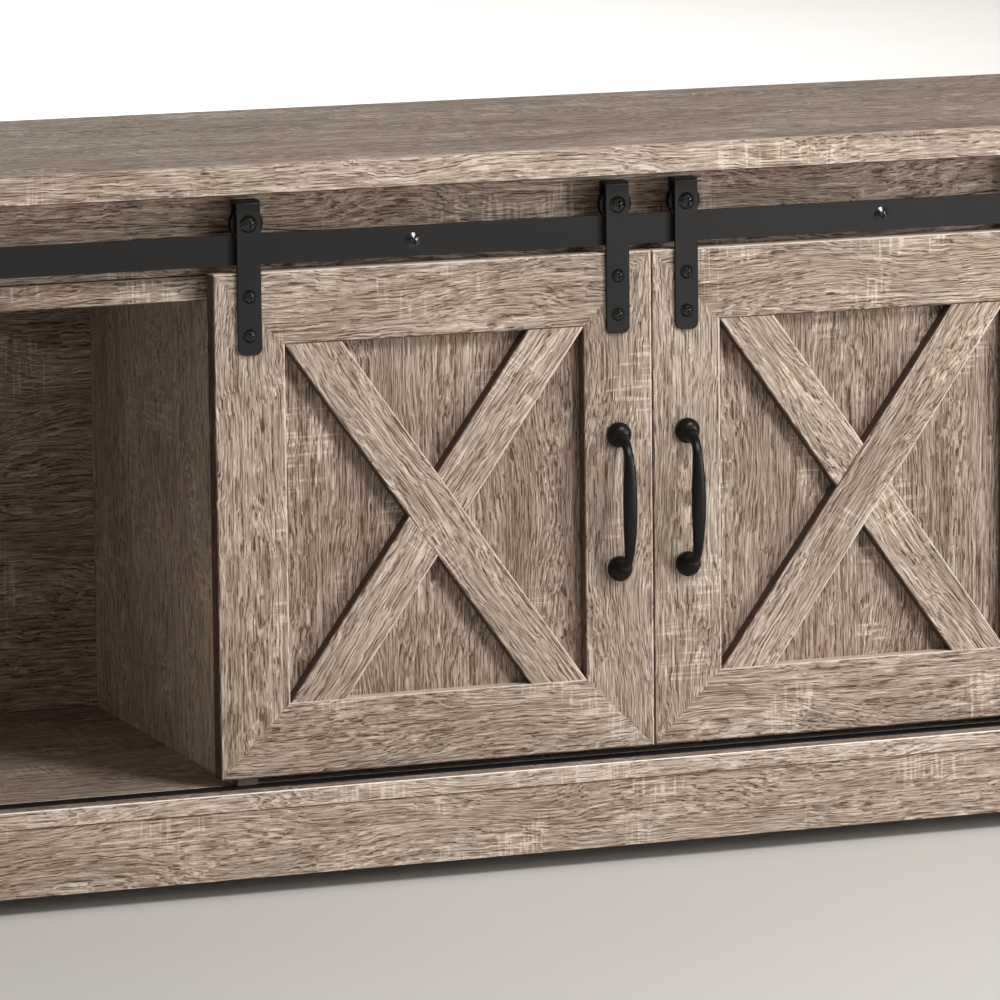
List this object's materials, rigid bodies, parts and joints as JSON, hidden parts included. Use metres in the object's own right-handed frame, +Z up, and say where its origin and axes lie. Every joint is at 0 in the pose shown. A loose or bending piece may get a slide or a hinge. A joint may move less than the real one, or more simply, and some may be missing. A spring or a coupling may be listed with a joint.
{
  "type": "tv stand with doors",
  "caption": "Low media console with two braced barn doors that roll sideways on an exposed black track, shelves behind them and an open bay at each end",
  "frame": {"origin": "middle of the footprint, on the floor under the stand", "axes": "+X to the right along the length as seen from the front, -Y out of the front, +Z up"},
  "size_m": [1.5, 0.426, 0.6],
  "materials": {
    "oak_decor": "taupe wood-effect board with open grain and saw marks, matt",
    "back_board": "thin hardboard with a printed wood face, matt",
    "black_metal": "black powder coat, low sheen",
    "handle_black": "black hammered iron, low sheen",
    "roller_black": "black coated steel roller, satin",
    "zinc_steel": "zinc-plated steel",
    "guide_nylon": "pale nylon",
    "foot_plastic": "black moulded plastic"
  },
  "bodies": {
    "carcass": {"top_board": "oak_decor", "header_rail": "oak_decor", "sub_top_board": "oak_decor", "bottom_board": "oak_decor", "side_panel_left": "oak_decor", "side_panel_right": "oak_decor", "divider_left": "oak_decor", "divider_right": "oak_decor", "centre_divider": "oak_decor", "shelf_left": "oak_decor", "shelf_right": "oak_decor", "shelf_pins": "zinc_steel", "back_panel_left": "back_board", "back_panel_centre": "back_board", "back_panel_right": "back_board", "back_nails": "zinc_steel", "base_front_apron": "oak_decor", "base_rear_rail": "oak_decor", "base_side_rail_left": "oak_decor", "base_side_rail_right": "oak_decor", "base_cross_rails": "oak_decor", "base_feet": "foot_plastic", "carcass_screws": "zinc_steel", "guide_channel": "black_metal", "track_bar": "black_metal", "track_spacers": "black_metal", "track_screws": "black_metal", "track_end_stops": "black_metal"},
    "left_door": {"left_door_stile_outer": "oak_decor", "left_door_stile_inner": "oak_decor", "left_door_rail_top": "oak_decor", "left_door_rail_bottom": "oak_decor", "left_door_panel": "oak_decor", "left_door_long_brace": "oak_decor", "left_door_upper_brace": "oak_decor", "left_door_lower_brace": "oak_decor", "left_door_handle": "handle_black", "left_door_handle_screws": "zinc_steel", "left_door_hangers": "black_metal", "left_door_hanger_screws": "black_metal", "left_door_axle_bolts": "black_metal", "left_door_guide_block": "guide_nylon"},
    "right_door": {"right_door_stile_outer": "oak_decor", "right_door_stile_inner": "oak_decor", "right_door_rail_top": "oak_decor", "right_door_rail_bottom": "oak_decor", "right_door_panel": "oak_decor", "right_door_long_brace": "oak_decor", "right_door_upper_brace": "oak_decor", "right_door_lower_brace": "oak_decor", "right_door_handle": "handle_black", "right_door_handle_screws": "zinc_steel", "right_door_hangers": "black_metal", "right_door_hanger_screws": "black_metal", "right_door_axle_bolts": "black_metal", "right_door_guide_block": "guide_nylon"},
    "left_wheel_outer_body": {"left_wheel_outer": "roller_black"},
    "left_wheel_inner_body": {"left_wheel_inner": "roller_black"},
    "right_wheel_outer_body": {"right_wheel_outer": "roller_black"},
    "right_wheel_inner_body": {"right_wheel_inner": "roller_black"}
  },
  "joints": [
    {"name": "left_door_slide", "type": "slide", "parent": "carcass", "child": "left_door", "axis": [-1, 0, 0], "range_m": [0, 0.355]},
    {"name": "left_wheel_outer_spin", "type": "hinge", "parent": "left_door", "child": "left_wheel_outer_body", "pos_m": [-0.35, -0.17825, 0.549], "axis": [0, -1, 0], "continuous": true},
    {"name": "left_wheel_inner_spin", "type": "hinge", "parent": "left_door", "child": "left_wheel_inner_body", "pos_m": [-0.0305, -0.17825, 0.549], "axis": [0, -1, 0], "continuous": true},
    {"name": "right_door_slide", "type": "slide", "parent": "carcass", "child": "right_door", "axis": [1, 0, 0], "range_m": [0, 0.355]},
    {"name": "right_wheel_outer_spin", "type": "hinge", "parent": "right_door", "child": "right_wheel_outer_body", "pos_m": [0.35, -0.17825, 0.549], "axis": [0, 1, 0], "continuous": true},
    {"name": "right_wheel_inner_spin", "type": "hinge", "parent": "right_door", "child": "right_wheel_inner_body", "pos_m": [0.0305, -0.17825, 0.549], "axis": [0, 1, 0], "continuous": true}
  ],
  "couplings": [
    {"joint": "left_wheel_outer_spin", "follows": "left_door_slide", "rad_per_m": 111.11},
    {"joint": "left_wheel_inner_spin", "follows": "left_door_slide", "rad_per_m": 111.11},
    {"joint": "right_wheel_outer_spin", "follows": "right_door_slide", "rad_per_m": 111.11},
    {"joint": "right_wheel_inner_spin", "follows": "right_door_slide", "rad_per_m": 111.11}
  ]
}
